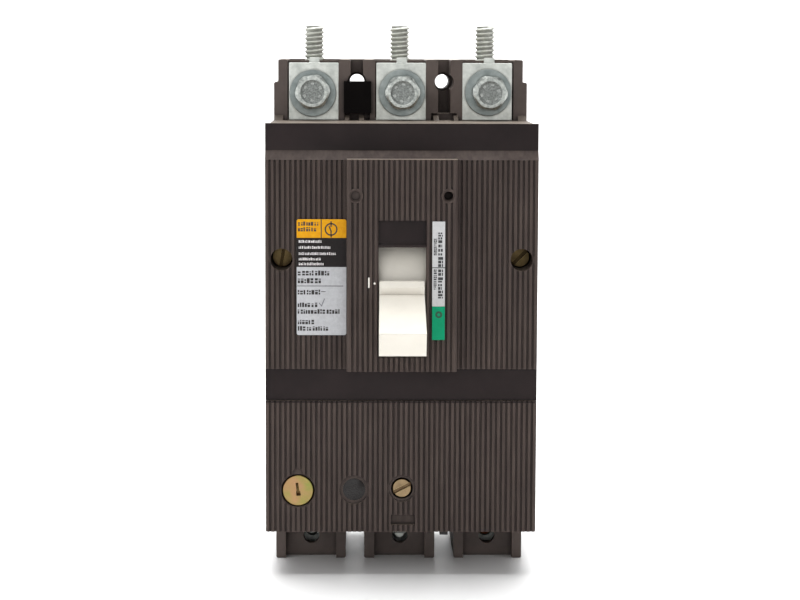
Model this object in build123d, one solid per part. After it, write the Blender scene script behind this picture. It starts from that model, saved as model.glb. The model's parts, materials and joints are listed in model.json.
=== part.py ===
from build123d import *
import math
import os

# Three-pole molded case circuit breaker, in millimetres.
# X runs across the poles, Z is up, and the front looks towards -Y.
# The origin is on the rear mounting plane, mid width, level with the bottom of the feet.

# Driving dimensions of the housing
POLE_PITCH = 35.0
POLES = (-POLE_PITCH, 0.0, POLE_PITCH)
WIDTH = 105.6
HALF = WIDTH / 2
WALL = 3.0
FRONT_Y = -86.0
PANEL_Y = -94.0
SPLIT_Y = -46.0
FOOT_Y = -54.0
REAR_WALL = 3.5
CASE_Z0 = 17.3
CASE_Z1 = 176.75
SHOULDER_X = 50.9
SHOULDER_Z = 174.0
PARTITION_X = 17.5

# Covers
COVER_GAP = 0.2
LOWER_TOP_Z = 69.1
UPPER_BOTTOM_Z = 69.3
BAND_TOP_Z = 81.6
BAND_Y = FRONT_Y + 1.0
RIBS_TOP_Z = 162.8
SLOPE_TOP_Z = 166.1
TOP_BAND_Y = -83.4
PANEL_HALF = 21.25
PANEL_TOP_Z = 163.3
PANEL_WALL = 2.7
EDGE = 0.8

# Ribs of the two covers
RIB_PITCH = 2.0
GROOVE = 0.95
GROOVE_DEPTH = 0.55
GROOVE_SLOPE = 0.2

# Toggle
PIVOT_Y = -52.0
PIVOT_Z = 108.0
SHIELD_R = 39.0
SHIELD_T = 2.0
SHIELD_SPAN = 48.0
TOGGLE_REST = 12.1
WINDOW_X = (-8.95, 9.25)
WINDOW_Z0 = 87.2
WINDOW_Z1 = 129.6
RECESS_Z = (131.2, 139.9)
RECESS_DEPTH = 1.3
YOKE_END = 35.8

# Contact system, with every outline drawn in the closed position
BAR_Y = -30.0
BAR_Z = 95.0
BAR_R = 6.0
OPEN_ANGLE = 35.0
ARM_T = 4.0
ARM_HALF = 4.0
TIP_HALF = 3.5
TIP_GAP = 0.1
CONTACT_Z0 = 139.0
CONTACT_Z1 = 147.0

# Toggle linkage, with every pivot at its place when the breaker is off
LINK_TOP = (-62.0, 96.0)
LINK_BOTTOM = (-38.0, 105.0)
KNEE = (-46.06, 90.0)
CRADLE_PIN = (-64.0, 120.0)
PLATE_X = 10.25
PLATE_T = 1.5
FIXING_X = 13.9
FIXING_Z = (104.0, 126.0)

# Trip system
TRIP_BAR = (-39.0, 65.0)
TRIP_LATCH_PIN = (-58.0, 76.0)
ARMATURE_PIN = (-33.0, 43.0)
FRAME_Y = -58.0
BUTTON_X = -18.3
BUTTON_Z = 34.0
BUTTON_R = 4.35
BUTTON_DOME = 14.0
DIAL_X = -40.2
DIAL_Z = 33.6
DIAL_R = 6.15
DIAL_CUP_R = 6.5
SLOT_LEAN = 8.0
COVER_SCREW_X = 0.4
COVER_SCREW_Z = 34.5
SEAT_R = 5.7
POCKET_Z = (20.1, 24.1)

# Line terminals
TERMINAL_TOP_Z = 201.0
STEP_TOP_Z = 192.0
TERMINAL_HALF = 49.0
STEP_HALF = 50.7
NOTCH_TOP_Z = 179.7
LIP_TOP_Z = 178.8
PLATE_TOP_Z = 199.7
BRIDGE_TOP_Z = 200.7
TONGUE = (-1.6, 2.6)
TONGUE_TOP_Z = 201.8
BLOCK_TOP_Z = 197.5
STUD_Y = -19.0
STUD_TOP_Z = 214.6
STUD_R = 4.0
STUD_ROOT_R = 3.6
STUD_COLLAR_Z = 198.0
BOLT_Z = 188.5
BOLT_AF = 13.0
BOLT_R = 3.9
BOLT_END_Y = -30.0
BOLT_TURN = (8, 3, -6)

# How far each bolt and washer sits from the middle of its terminal, as (X, Z)
BOLT_SHIFT = ((-0.2, -0.3), (0.75, -0.55), (0.65, -0.55))
WASHER_SHIFT = ((-0.1, -0.9), (0.55, -0.7), (0.05, -0.45))
PLATE_SHIFT = (0.25, 0.2, -0.3)
PLATE_HALF = 9.9

# Studs, feet, fixings and mounting
STUD_Z0 = 180.0
FEET = ((-49.85, -21.8), (-14.25, 14.2), (22.0, 49.45))
FOOT_WALLS = (3.8, 4.0, 3.8)
FOOT_FRONT = (-48.3, -44.3)
FOOT_HOLE_Z = 8.1
FOOT_HOLE_R = 3.25
LOAD_X = (-35.7, 0.25, 35.65)
LOAD_SCREW_Y = (-33.8, -42.0)
SCREW_X = 46.5
SCREW_Z = 124.2
MOUNT_X = 17.5
MOUNT_Z0 = 32.0
MOUNT_Z1 = 192.0
MOUNT_R = 2.95
HEAD_R = 3.9
CHANNEL = (15.0, 20.1)
WEB_Y = -24.0
LIPS = ((-50.4, -47.0), (-22.3, -20.5), (-16.6, -14.6), (13.2, 15.3), (21.3, 23.1), (47.0, 50.4))
PIP_X = 17.8
PIP_Z = 149.4
PIP_R = 1.75
PIP_RIM_R = 2.6

FIT = 0.06


def block(x0, x1, y0, y1, z0, z1):
    """Box between two corners."""
    size = Box(x1 - x0, y1 - y0, z1 - z0)
    return Pos((x0 + x1) / 2, (y0 + y1) / 2, (z0 + z1) / 2) * size


def rod_x(radius, x0, x1, y, z):
    """Cylinder along X."""
    return Pos((x0 + x1) / 2, y, z) * Rot(0, 90, 0) * Cylinder(radius, x1 - x0)


def rod_y(radius, x, z, y0, y1):
    """Cylinder along Y."""
    return Pos(x, (y0 + y1) / 2, z) * Rot(90, 0, 0) * Cylinder(radius, y1 - y0)


def rod_z(radius, x, y, z0, z1):
    """Cylinder along Z."""
    return Pos(x, y, (z0 + z1) / 2) * Cylinder(radius, z1 - z0)


def cone_y(r_front, r_back, x, z, y0, y1):
    """Cone along Y, with its first radius at y0."""
    return Pos(x, (y0 + y1) / 2, z) * Rot(-90, 0, 0) * Cone(r_front, r_back, y1 - y0)


def plate_x(points, x0, x1):
    """Outline of (Y, Z) points, as thick as the X interval."""
    face = Plane.YZ.offset(x0) * make_face(Polyline(*points, close=True))
    return extrude(face, x1 - x0)


def plate_z(points, z0, z1):
    """Outline of (X, Y) points, as thick as the Z interval."""
    face = Plane.XY.offset(z0) * make_face(Polyline(*points, close=True))
    return extrude(face, z1 - z0)


def plate_y(points, y0, y1):
    """Outline of (X, Z) points, as thick as the Y interval."""
    face = Plane.XZ.offset(-y1) * make_face(Polyline(*points, close=True))
    return extrude(face, y1 - y0)


def both_sides(shape):
    """A shape and its mirror image across the mid plane."""
    return shape + mirror(shape, Plane.YZ)


def turn_x(shape, angle, y, z):
    """A shape turned about an axis along X through (y, z)."""
    return Pos(0, y, z) * Rot(angle, 0, 0) * Pos(0, -y, -z) * shape


def at_poles(shape):
    """One copy of a centre pole's shape for each pole."""
    return [Pos(x, 0, 0) * shape for x in POLES]


def link(start, end, eye, half, x0, x1):
    """Flat bar with a round eye at each end, between two (Y, Z) pivots."""
    dy = end[0] - start[0]
    dz = end[1] - start[1]
    length = math.hypot(dy, dz)
    ny = -dz / length * half
    nz = dy / length * half
    corners = [
        (start[0] + ny, start[1] + nz),
        (end[0] + ny, end[1] + nz),
        (end[0] - ny, end[1] - nz),
        (start[0] - ny, start[1] - nz),
    ]
    bar = plate_x(corners, x0, x1)
    return bar + rod_x(eye, x0, x1, *start) + rod_x(eye, x0, x1, *end)


def tube_between(start, end, outer, inner, x):
    """Hollow cylinder in the plane X = x, from one (Y, Z) point to another."""
    direction = Vector(0, end[0] - start[0], end[1] - start[1])
    plane = Plane(origin=(x, start[0], start[1]), x_dir=(1, 0, 0), z_dir=direction)
    ring = plane * (Circle(outer) - Circle(inner))
    return extrude(ring, direction.length)


def ribbed_outline(half, y_front, y_back, inside, outside):
    """Cross-section with grooves in its front between two distances from the middle."""
    points = [(-half, y_back), (-half, y_front + EDGE), (-half + EDGE, y_front)]
    count = int(half / RIB_PITCH) + 1
    for i in range(-count, count):
        x = (i + 0.5) * RIB_PITCH
        if inside < abs(x) < outside:
            points.append((x - GROOVE / 2, y_front))
            points.append((x - GROOVE / 2 + GROOVE_SLOPE, y_front + GROOVE_DEPTH))
            points.append((x + GROOVE / 2 - GROOVE_SLOPE, y_front + GROOVE_DEPTH))
            points.append((x + GROOVE / 2, y_front))
    points += [(half - EDGE, y_front), (half, y_front + EDGE), (half, y_back)]
    return points


# Housing

def foot(pole):
    """One foot: side walls, a set-back front wall with the screw hole, and a wire entry below."""
    x0, x1 = FEET[pole]
    wall = FOOT_WALLS[pole]
    wall_y0, wall_y1 = FOOT_FRONT
    body = block(x0, x1, FOOT_Y, 0, 0, CASE_Z0)
    body = fillet(body.edges().filter_by(Axis.Y).group_by(Axis.Z)[0], 0.8)
    body -= block(x0 - 1, x1 + 1, FOOT_Y - 1, SPLIT_Y, CASE_Z0 - COVER_GAP, CASE_Z0 + 1)
    body -= block(x0 + wall, x1 - wall, FOOT_Y - 1, wall_y0, -1, CASE_Z0)
    body -= block(x0 + wall, x1 - wall, wall_y1, -6, -1, CASE_Z0 - 0.01)
    return body - rod_y(FOOT_HOLE_R, LOAD_X[pole], FOOT_HOLE_Z, wall_y0 - 1, wall_y1 + 1)


def terminal_wall(x0, x1, top):
    """Wall of the line terminal cells with rounded top edges."""
    wall = block(x0, x1, SPLIT_Y, 0, CASE_Z1 - 1, top)
    return fillet(wall.edges().filter_by(Axis.Y).group_by(Axis.Z)[-1], 0.7)


def shoulder(y0, y1):
    """Strip cut from the top edge of the housing's right side."""
    return block(SHOULDER_X, HALF + 1, y0, y1, SHOULDER_Z, CASE_Z1 + 1)


def base():
    """Moulded tray with pole cells, line terminal cells above and three feet below."""
    body = block(-HALF, HALF, SPLIT_Y, 0, CASE_Z0, CASE_Z1)
    body -= block(-HALF + WALL, HALF - WALL, SPLIT_Y - 1, -REAR_WALL, CASE_Z0 + WALL, CASE_Z1 - WALL)
    # pole partitions, lower in the trip zone, where the trip bar crosses them
    wall = block(PARTITION_X - 1.5, PARTITION_X + 1.5, SPLIT_Y, -REAR_WALL, 76, CASE_Z1 - WALL)
    wall += block(PARTITION_X - 1.5, PARTITION_X + 1.5, -30, -REAR_WALL, CASE_Z0 + WALL, 76)
    wall -= block(14, 21, SPLIT_Y - 1, BAR_Y, BAR_Z - BAR_R - 0.6, BAR_Z + BAR_R + 0.6)
    wall -= rod_x(BAR_R + 0.6, 14, 21, BAR_Y, BAR_Z)
    wall += rod_y(5.5, MOUNT_X, MOUNT_Z0, -24, -1)
    body += both_sides(wall)
    # seats of the fixed contacts, ledges of the trip frame and bosses of the cover screws
    for x in POLES:
        body += block(x - 6, x + 6, -9, -3, 140, 172)
    body += both_sides(block(46, HALF - 1, -30, -3, 30, 50))
    body += both_sides(rod_y(5.2, SCREW_X, SCREW_Z, SPLIT_Y, -3))
    # line terminal cells
    top = block(-TERMINAL_HALF, TERMINAL_HALF, -6, 0, CASE_Z1 - 1, TERMINAL_TOP_Z)
    side = terminal_wall(45.3, TERMINAL_HALF, TERMINAL_TOP_Z)
    side += terminal_wall(47, STEP_HALF, STEP_TOP_Z)
    side += terminal_wall(10.2, CHANNEL[0], TERMINAL_TOP_Z)
    side += terminal_wall(CHANNEL[1], 24.8, TERMINAL_TOP_Z)
    side += block(CHANNEL[0], CHANNEL[1], WEB_Y, 0, CASE_Z1 - 1, TERMINAL_TOP_Z)
    side -= block(12.2, 22.6, SPLIT_Y - 1, -38, CASE_Z1, NOTCH_TOP_Z)
    side += block(CHANNEL[0] - 0.5, CHANNEL[1] + 0.5, -38, WEB_Y + 1, CASE_Z1 - 1, NOTCH_TOP_Z - 0.3)
    body += top + both_sides(side)
    # low bridges over the terminal blocks, in front of the studs
    for x in POLES:
        body += block(x - 10.6, x + 10.6, -40, -34, BLOCK_TOP_Z + 0.5, BRIDGE_TOP_Z)
    body -= both_sides(shoulder(SPLIT_Y - 1, 1))
    for pole in range(3):
        body += foot(pole)
    # ways through the end walls for the conductors
    for x in POLES:
        body -= block(x - 7.3, x + 7.3, -12.3, -8.7, CASE_Z1 - WALL - 1, CASE_Z1 + 0.01)
    for x in LOAD_X:
        body -= block(x - 5.4, x + 5.4, -22.4, -19.6, CASE_Z0 - 0.02, CASE_Z0 + WALL + 1)
    # mounting holes and the threaded insert seats
    for x in (-MOUNT_X, MOUNT_X):
        body -= rod_y(MOUNT_R, x, MOUNT_Z0, -25, 1)
        body -= rod_y(MOUNT_R, x, MOUNT_Z1, -25, 1)
        body -= rod_y(HEAD_R, x, MOUNT_Z1, SPLIT_Y - 1, WEB_Y + 3)
    for x in (-SCREW_X, SCREW_X):
        body -= rod_y(3.0, x, SCREW_Z, SPLIT_Y - 1, SPLIT_Y + 12)
    for x in (-FIXING_X, FIXING_X):
        for z in FIXING_Z:
            body -= rod_y(1.4, x, z, -4, -0.8)
    return body


def upper_cover():
    """Ribbed cover with the raised centre panel, the toggle window and two deep screw holes."""
    body = plate_z(ribbed_outline(HALF, FRONT_Y, SPLIT_Y, 21.9, 51.9), BAND_TOP_Z, RIBS_TOP_Z)
    body += block(-HALF, HALF, BAND_Y, SPLIT_Y, UPPER_BOTTOM_Z, BAND_TOP_Z)
    crown = [
        (SPLIT_Y, RIBS_TOP_Z),
        (FRONT_Y, RIBS_TOP_Z),
        (TOP_BAND_Y, SLOPE_TOP_Z),
        (TOP_BAND_Y, CASE_Z1),
        (SPLIT_Y, CASE_Z1),
    ]
    body += plate_x(crown, -HALF, HALF) - both_sides(shoulder(TOP_BAND_Y + 3.4, SPLIT_Y + 1))
    panel = ribbed_outline(PANEL_HALF, PANEL_Y, FRONT_Y + 3, -1, 20.6)
    body += plate_z(panel, BAND_TOP_Z, PANEL_TOP_Z)
    # sloped lips in front of the terminal walls
    for x0, x1 in LIPS:
        lip = [(SPLIT_Y, CASE_Z1), (SPLIT_Y - 4, CASE_Z1), (SPLIT_Y, LIP_TOP_Z)]
        body += plate_x(lip, x0, x1)
    # hollow inside
    room = [
        (SPLIT_Y + 1, UPPER_BOTTOM_Z + WALL),
        (FRONT_Y + WALL, UPPER_BOTTOM_Z + WALL),
        (FRONT_Y + WALL, RIBS_TOP_Z - 1.5),
        (TOP_BAND_Y + WALL, RIBS_TOP_Z + 1.4),
        (TOP_BAND_Y + WALL, CASE_Z1 - WALL),
        (SPLIT_Y + 1, CASE_Z1 - WALL),
    ]
    body -= plate_x(room, -HALF + WALL, HALF - WALL)
    body -= block(-18.5, 18.5, PANEL_Y + PANEL_WALL, FRONT_Y + WALL + 1, BAND_TOP_Z + 2.5, PANEL_TOP_Z - 2.8)
    body -= block(-13, 13, -70, SPLIT_Y + 1, UPPER_BOTTOM_Z - 1, UPPER_BOTTOM_Z + WALL + 1)
    # toggle window, the smooth bar over it, and the recess above, whose lower edge slopes
    body -= block(*WINDOW_X, PANEL_Y - 1, -80, WINDOW_Z0, WINDOW_Z1)
    body -= block(*WINDOW_X, PANEL_Y - 1, PANEL_Y + 0.5, WINDOW_Z1 - 0.1, RECESS_Z[1])
    recess = [
        (PANEL_Y, RECESS_Z[1]),
        (PANEL_Y + RECESS_DEPTH, RECESS_Z[1]),
        (PANEL_Y + RECESS_DEPTH, RECESS_Z[0]),
        (PANEL_Y + 0.5, RECESS_Z[0] - 0.8),
        (PANEL_Y, RECESS_Z[0] - 0.8),
    ]
    body -= plate_x(recess, *WINDOW_X)
    # screw columns and the two small holes beside the window
    for x in (-SCREW_X, SCREW_X):
        column = rod_y(5.8, x, SCREW_Z, FRONT_Y + 1.5, SPLIT_Y)
        body += column
        body -= rod_y(4.33, x, SCREW_Z, FRONT_Y - 1, -70)
        body -= rod_y(2.3, x, SCREW_Z, -71, SPLIT_Y + 1)
    for x in (-PIP_X, PIP_X):
        body += rod_y(PIP_RIM_R + 0.25, x, PIP_Z, PANEL_Y, FRONT_Y + 2)
        body -= rod_y(PIP_R, x, PIP_Z, PANEL_Y - 1, FRONT_Y)
        body -= cone_y(PIP_RIM_R, PIP_R, x, PIP_Z, PANEL_Y - 0.01, PANEL_Y + 0.8)
    return body


def lower_cover():
    """Ribbed cover of the trip units, with seats for the dial, the button and its screw."""
    body = plate_z(ribbed_outline(HALF, FRONT_Y, SPLIT_Y, -1, 51.9), CASE_Z0, LOWER_TOP_Z)
    body -= block(
        -HALF + WALL, HALF - WALL, FRONT_Y + WALL, SPLIT_Y + 1, CASE_Z0 + WALL, LOWER_TOP_Z - WALL
    )
    body -= block(-13, 13, -70, SPLIT_Y + 1, LOWER_TOP_Z - WALL - 1, LOWER_TOP_Z + 1)
    body += rod_y(9.0, DIAL_X, DIAL_Z, FRONT_Y + 2, -76)
    body += rod_y(8.0, BUTTON_X, BUTTON_Z, FRONT_Y + 2, -77.3)
    body += rod_y(7.0, COVER_SCREW_X, COVER_SCREW_Z, FRONT_Y + 2, -79)
    # dial cup, with its bearing in the floor
    body -= rod_y(DIAL_CUP_R, DIAL_X, DIAL_Z, FRONT_Y - 1, -80)
    body -= cone_y(DIAL_CUP_R + 0.5, DIAL_CUP_R, DIAL_X, DIAL_Z, FRONT_Y - 0.01, FRONT_Y + 0.6)
    body -= rod_y(2.0, DIAL_X - 0.2, DIAL_Z + DIAL_CUP_R + 0.4, FRONT_Y - 1, FRONT_Y + GROOVE_DEPTH + 0.1)
    body -= rod_y(2.5 + FIT, DIAL_X, DIAL_Z, -81, -75)
    # button guide in a shallow round seat
    body -= rod_y(SEAT_R, BUTTON_X, BUTTON_Z, FRONT_Y - 1, FRONT_Y + 0.8)
    body -= rod_y(BUTTON_R + FIT, BUTTON_X, BUTTON_Z, FRONT_Y - 1, -76)
    # cover screw hole in a shallow round seat
    body -= rod_y(SEAT_R - 0.4, COVER_SCREW_X, COVER_SCREW_Z, FRONT_Y - 1, FRONT_Y + 0.8)
    body -= rod_y(4.3, COVER_SCREW_X, COVER_SCREW_Z, FRONT_Y - 1, FRONT_Y + 4)
    body -= rod_y(2.3, COVER_SCREW_X, COVER_SCREW_Z, FRONT_Y + 3, -78)
    # finger pocket and latch hole
    body -= block(-3.9, 5.6, FRONT_Y - 1, FRONT_Y + 2.2, *POCKET_Z)
    body -= block(15.9, 18.4, -77.5, -74.5, CASE_Z0 - 1, CASE_Z0 + WALL + 1)
    return body


# Toggle

def level_to_rest(shape):
    """Turns a shape drawn with the lever level down to the off position."""
    return turn_x(shape, TOGGLE_REST, PIVOT_Y, PIVOT_Z)


def toggle_handle():
    """Lever with a tapered grip, a stepped root and the curved shield behind the window."""
    ring = rod_x(SHIELD_R, -11.5, 11.5, 0, 0) - rod_x(SHIELD_R - SHIELD_T, -12, 12, 0, 0)
    reach = 2 * SHIELD_R
    drop = reach * math.tan(math.radians(SHIELD_SPAN))
    sector = plate_x([(0, 0), (-reach, drop), (-reach, -drop)], -12, 12)
    body = ring & sector
    root = [(-38, 17.2), (-39.3, 17.2), (-41.2, 15.4), (-41.2, -13.4), (-39.6, -14.6), (-38, -14.6)]
    body += plate_x(root, -8.65, 8.65)
    grip = [(-40, 12.95), (-67.0, 5.6), (-67.2, 5.15), (-64.6, -4.15), (-64.2, -4.4), (-40, -12.95)]
    lever = plate_x(grip, -9, 9)
    taper = plate_z([(-8.65, -40), (-9, -70), (9, -70), (8.65, -40)], -20, 20)
    body += lever & taper
    body += block(-6, 6, -38, -YOKE_END, -6, 6)
    return level_to_rest(Pos(0, PIVOT_Y, PIVOT_Z) * body)


def toggle_yoke():
    """Bent steel fork that carries the lever and turns on the pivot pin."""
    leg = link((0, 0), (-YOKE_END + 2, 0), 5, 4, 8.25, 9.75)
    leg -= block(8, 10, -YOKE_END - 8, -YOKE_END, -8, 8)
    body = both_sides(leg)
    body += block(-9.75, 9.75, -YOKE_END, -YOKE_END + 1.5, -8, 8)
    body -= rod_x(2.5 + FIT, -12, 12, 0, 0)
    return level_to_rest(Pos(0, PIVOT_Y, PIVOT_Z) * body)


def main_springs():
    """Two tension springs from the knee pin to the yoke, as hollow cylinders."""
    angle = math.radians(TOGGLE_REST)
    reach = YOKE_END - 2.6
    top = (PIVOT_Y - reach * math.cos(angle), PIVOT_Z - reach * math.sin(angle))
    length = math.hypot(top[0] - KNEE[0], top[1] - KNEE[1])
    share = 1.9 / length
    start = (KNEE[0] + (top[0] - KNEE[0]) * share, KNEE[1] + (top[1] - KNEE[1]) * share)
    return [tube_between(start, top, 1.9, 1.2, x) for x in (-2.3, 2.3)]


# Mechanism between the two side plates

def side_plates():
    """Two steel plates, bent outwards at the rear to take the fixing screws."""
    outline = [
        (-78, 86), (-78, 130), (-72, 136), (-20, 136), (-20, 131), (-REAR_WALL, 131),
        (-REAR_WALL, 99), (-18, 99), (-18, 86), (-50, 84), (-50, 72.8), (-66, 72.8), (-66, 84),
    ]
    plate = plate_x(outline, PLATE_X, PLATE_X + PLATE_T)
    plate += block(PLATE_X, 15.95, -REAR_WALL - PLATE_T, -REAR_WALL, 99, 131)
    plate -= rod_x(BAR_R + FIT, 9, 13, BAR_Y, BAR_Z)
    plate -= rod_x(2.5, 9, 13, PIVOT_Y, PIVOT_Z)
    plate -= rod_x(2.0, 9, 13, *CRADLE_PIN)
    plate -= rod_x(1.5, 9, 13, *TRIP_LATCH_PIN)
    for z in FIXING_Z:
        plate -= rod_y(1.5, FIXING_X, z, -6, -3)
    return [plate, mirror(plate, Plane.YZ)]


def spacers():
    """Riveted posts that keep the side plates apart."""
    return [rod_x(2.5, -PLATE_X, PLATE_X, y, z) for y, z in ((-70, 129), (-9, 116), (-72, 89))]


def mechanism_screws():
    """Four pan head screws that hold the mechanism to the base."""
    screws = []
    for x in (-FIXING_X, FIXING_X):
        for z in FIXING_Z:
            head = rod_y(2.0, x, z, -6.6, -REAR_WALL - PLATE_T)
            screws.append(head + rod_y(1.4, x, z, -REAR_WALL - PLATE_T, -0.9))
    return screws


def cradle():
    """Latched lever that anchors the upper links, with a nose held by the trip latch."""
    arm = link(CRADLE_PIN, LINK_TOP, 4, 3, 4.6, 6.1)
    arm += link(LINK_TOP, (-53.2, 81.5), 2.2, 2.0, 4.6, 6.1)
    arm += rod_x(1.5, 6.1, 7.9, *LINK_TOP)
    body = both_sides(arm)
    body += block(-6.1, 6.1, -55.2, -51.2, 79.4, 81.9)
    return body - rod_x(2.0, -12, 12, *CRADLE_PIN)


def upper_links():
    """Pair of links from the cradle to the knee."""
    bar = link(LINK_TOP, KNEE, 3.4, 2.4, 6.4, 7.9)
    bar -= rod_x(1.5 + FIT, 6, 8, *LINK_TOP)
    bar -= rod_x(1.5, 6, 8, *KNEE)
    return [bar, mirror(bar, Plane.YZ)]


def lower_links():
    """Pair of links from the knee to the crossbar, open at the knee."""
    bar = link(LINK_BOTTOM, KNEE, 3.2, 2.4, 4.6, 6.1)
    bar += rod_x(4.7, 4.6, 6.1, *KNEE)
    bar -= rod_x(1.5 + FIT, 4, 7, *LINK_BOTTOM)
    bar -= rod_x(3.1, 4, 7, *KNEE)
    return [bar, mirror(bar, Plane.YZ)]


# Contacts

def open_position(shape):
    """Turns a shape drawn closed to where it stands with the breaker off."""
    return turn_x(shape, OPEN_ANGLE, BAR_Y, BAR_Z)


def arm_outline():
    """Contact arm seen from the side, closed."""
    front = [(-32, 83), (-32, 100.5), (-21, 120.5), (-21, 150)]
    back = [(-21 + ARM_T, 150), (-21 + ARM_T, 119.5), (-32 + ARM_T, 99.5), (-32 + ARM_T, 83)]
    return front + back


def contact_arm():
    """Copper arm of the centre pole."""
    return open_position(plate_x(arm_outline(), -ARM_HALF, ARM_HALF))


def moving_tip():
    """Silver pad of the centre pole's arm."""
    back = -21 + ARM_T
    return open_position(block(-TIP_HALF, TIP_HALF, back, back + 2, CONTACT_Z0, CONTACT_Z1))


def crossbar():
    """Moulded shaft with a carrier and a spring seat for each arm, and the link lugs."""
    body = rod_x(BAR_R, -42, 42, BAR_Y, BAR_Z)
    for x in POLES:
        body += rod_x(8.0, x - 6.5, x + 6.5, BAR_Y, BAR_Z)
        body += open_position(block(x - 5, x + 5, -39, BAR_Y, 86, 93))
    lug = link((BAR_Y, BAR_Z), LINK_BOTTOM, 3.2, 3.0, 6.4, 7.9)
    body += both_sides(lug)
    for x in POLES:
        body -= Pos(x, 0, 0) * contact_arm()
        body -= open_position(rod_y(2.2, x, 89.5, -38, -32))
    return body - rod_x(1.5, -9, 9, *LINK_BOTTOM)


def contact_springs():
    """Compression springs that press the arms, as hollow cylinders."""
    spring = rod_y(1.9, 0, 89.5, -37.9, -32.1) - rod_y(1.2, 0, 89.5, -39, -31)
    return at_poles(open_position(spring))


def line_conductor():
    """Copper strip from the fixed contact up to the line terminal."""
    return block(-7, 7, -12, -9, 136, BLOCK_TOP_Z)


def fixed_tip():
    """Silver pad on the line conductor."""
    front = -21 + ARM_T + 2 + TIP_GAP
    return block(-TIP_HALF, TIP_HALF, front, -12, CONTACT_Z0, CONTACT_Z1)


def arc_walls():
    """Two insulating side sheets of one arc chute."""
    sheet = block(12.5, 14, -62, -15, 139, 173)
    return [sheet, mirror(sheet, Plane.YZ)]


def arc_plates():
    """Stack of notched steel plates across the path of the arm's tip."""
    plates = []
    for i in range(9):
        y = -20.0 - 5.0 * i
        plate = block(-12.5, 12.5, y - 0.75, y + 0.75, 143, 171)
        plate -= block(-6.5, 6.5, y - 2, y + 2, 142, 152.5)
        plate -= plate_y([(-6.5, 152.5), (0, 160), (6.5, 152.5)], y - 2, y + 2)
        plates.append(plate)
    return plates


# Line terminals

def bolt_centre(pole):
    """X and Z of the bolt of one line terminal."""
    return POLES[pole] + BOLT_SHIFT[pole][0], BOLT_Z + BOLT_SHIFT[pole][1]


def terminal_plate(pole):
    """Front plate of one line terminal, with its tongue."""
    x = POLES[pole]
    middle = x + PLATE_SHIFT[pole]
    left, right = middle - PLATE_HALF, middle + PLATE_HALF
    body = block(left, right, SPLIT_Y, SPLIT_Y + 3, CASE_Z1 + 0.2, PLATE_TOP_Z)
    body += block(x + TONGUE[0], x + TONGUE[1], SPLIT_Y + 0.6, SPLIT_Y + 3, PLATE_TOP_Z - 1, TONGUE_TOP_Z)
    return body - rod_y(4.2, *bolt_centre(pole), SPLIT_Y - 1, SPLIT_Y + 4)


def terminal_block(pole):
    """Threaded block between the plate and the conductor, which takes the bolt and the stud."""
    x = POLES[pole]
    body = block(x - 8, x + 8, SPLIT_Y + 3, -12, CASE_Z1 + 0.6, BLOCK_TOP_Z)
    body -= rod_y(BOLT_R, *bolt_centre(pole), SPLIT_Y + 2, BOLT_END_Y)
    return body - rod_z(STUD_ROOT_R, x, STUD_Y, STUD_Z0, BLOCK_TOP_Z + 1)


def washer(pole):
    """Flat washer under a terminal bolt."""
    x = POLES[pole] + WASHER_SHIFT[pole][0]
    z = BOLT_Z + WASHER_SHIFT[pole][1]
    return rod_y(9.3, x, z, SPLIT_Y - 1.6, SPLIT_Y) - rod_y(4.55, x, z, SPLIT_Y - 3, SPLIT_Y + 1)


def hex_bolt(pole):
    """Hexagon bolt whose head has a chamfered rim."""
    head_y = SPLIT_Y - 1.6
    hexagon = RegularPolygon(BOLT_AF / 2, 6, major_radius=False)
    head = extrude(Plane.XZ.offset(-head_y) * Rot(0, 0, BOLT_TURN[pole]) * hexagon, 5.3)
    rim = cone_y(BOLT_AF / 2 - 0.1, BOLT_AF / 2 + 2.5, 0, 0, head_y - 5.3, head_y - 3.8)
    rim += rod_y(BOLT_AF / 2 + 2.5, 0, 0, head_y - 3.8, head_y)
    shank = rod_y(BOLT_R, 0, 0, head_y, BOLT_END_Y)
    x, z = bolt_centre(pole)
    return Pos(x, 0, z) * ((head & rim) + shank)


def stud():
    """Upright terminal stud with a thinner root in the block and a chamfered end."""
    body = rod_z(STUD_ROOT_R, 0, STUD_Y, STUD_Z0, STUD_COLLAR_Z)
    body += rod_z(STUD_R, 0, STUD_Y, STUD_COLLAR_Z, STUD_TOP_Z - 0.8)
    return body + Pos(0, STUD_Y, STUD_TOP_Z - 0.4) * Cone(STUD_R, STUD_R - 0.8, 0.8)


# Load side

def load_conductor():
    """Straight strip from the trip unit down into the foot."""
    return block(-5, 5, -22, -20, 3, 68)


def load_clamp():
    """Cage that the load wire goes through."""
    body = block(-7.5, 7.5, -34, -16, 3, 13)
    body -= block(-5.8, 5.8, -31, -18, 2, 14)
    return body - rod_y(2.9, 0, FOOT_HOLE_Z, -35, -30)


def load_screw(y):
    """Slotted clamping screw whose domed end stands at y."""
    body = rod_y(2.8, 0, FOOT_HOLE_Z, y + 0.6, y + 10.6)
    body += cone_y(2.0, 2.8, 0, FOOT_HOLE_Z, y, y + 0.6)
    return body - block(-3, 3, y - 0.1, y + 0.9, FOOT_HOLE_Z - 0.4, FOOT_HOLE_Z + 0.4)


# Trip units

def bimetal():
    """Bimetal strip on its foot."""
    return plate_x([(-24, 26), (-24, 69), (-22.8, 69), (-22.8, 34), (-22, 34), (-22, 26)], -4, 4)


def magnet_yoke():
    """U of soft steel round the strip, with ears for the armature's pin."""
    body = block(-10, 10, -18, -16, 46, 58)
    body += both_sides(block(8.5, 10, -30, -16, 46, 58))
    body += both_sides(block(8.5, 10, -35, -18, 40, 46.5))
    return body - rod_x(1.0, -11, 11, *ARMATURE_PIN)


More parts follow.
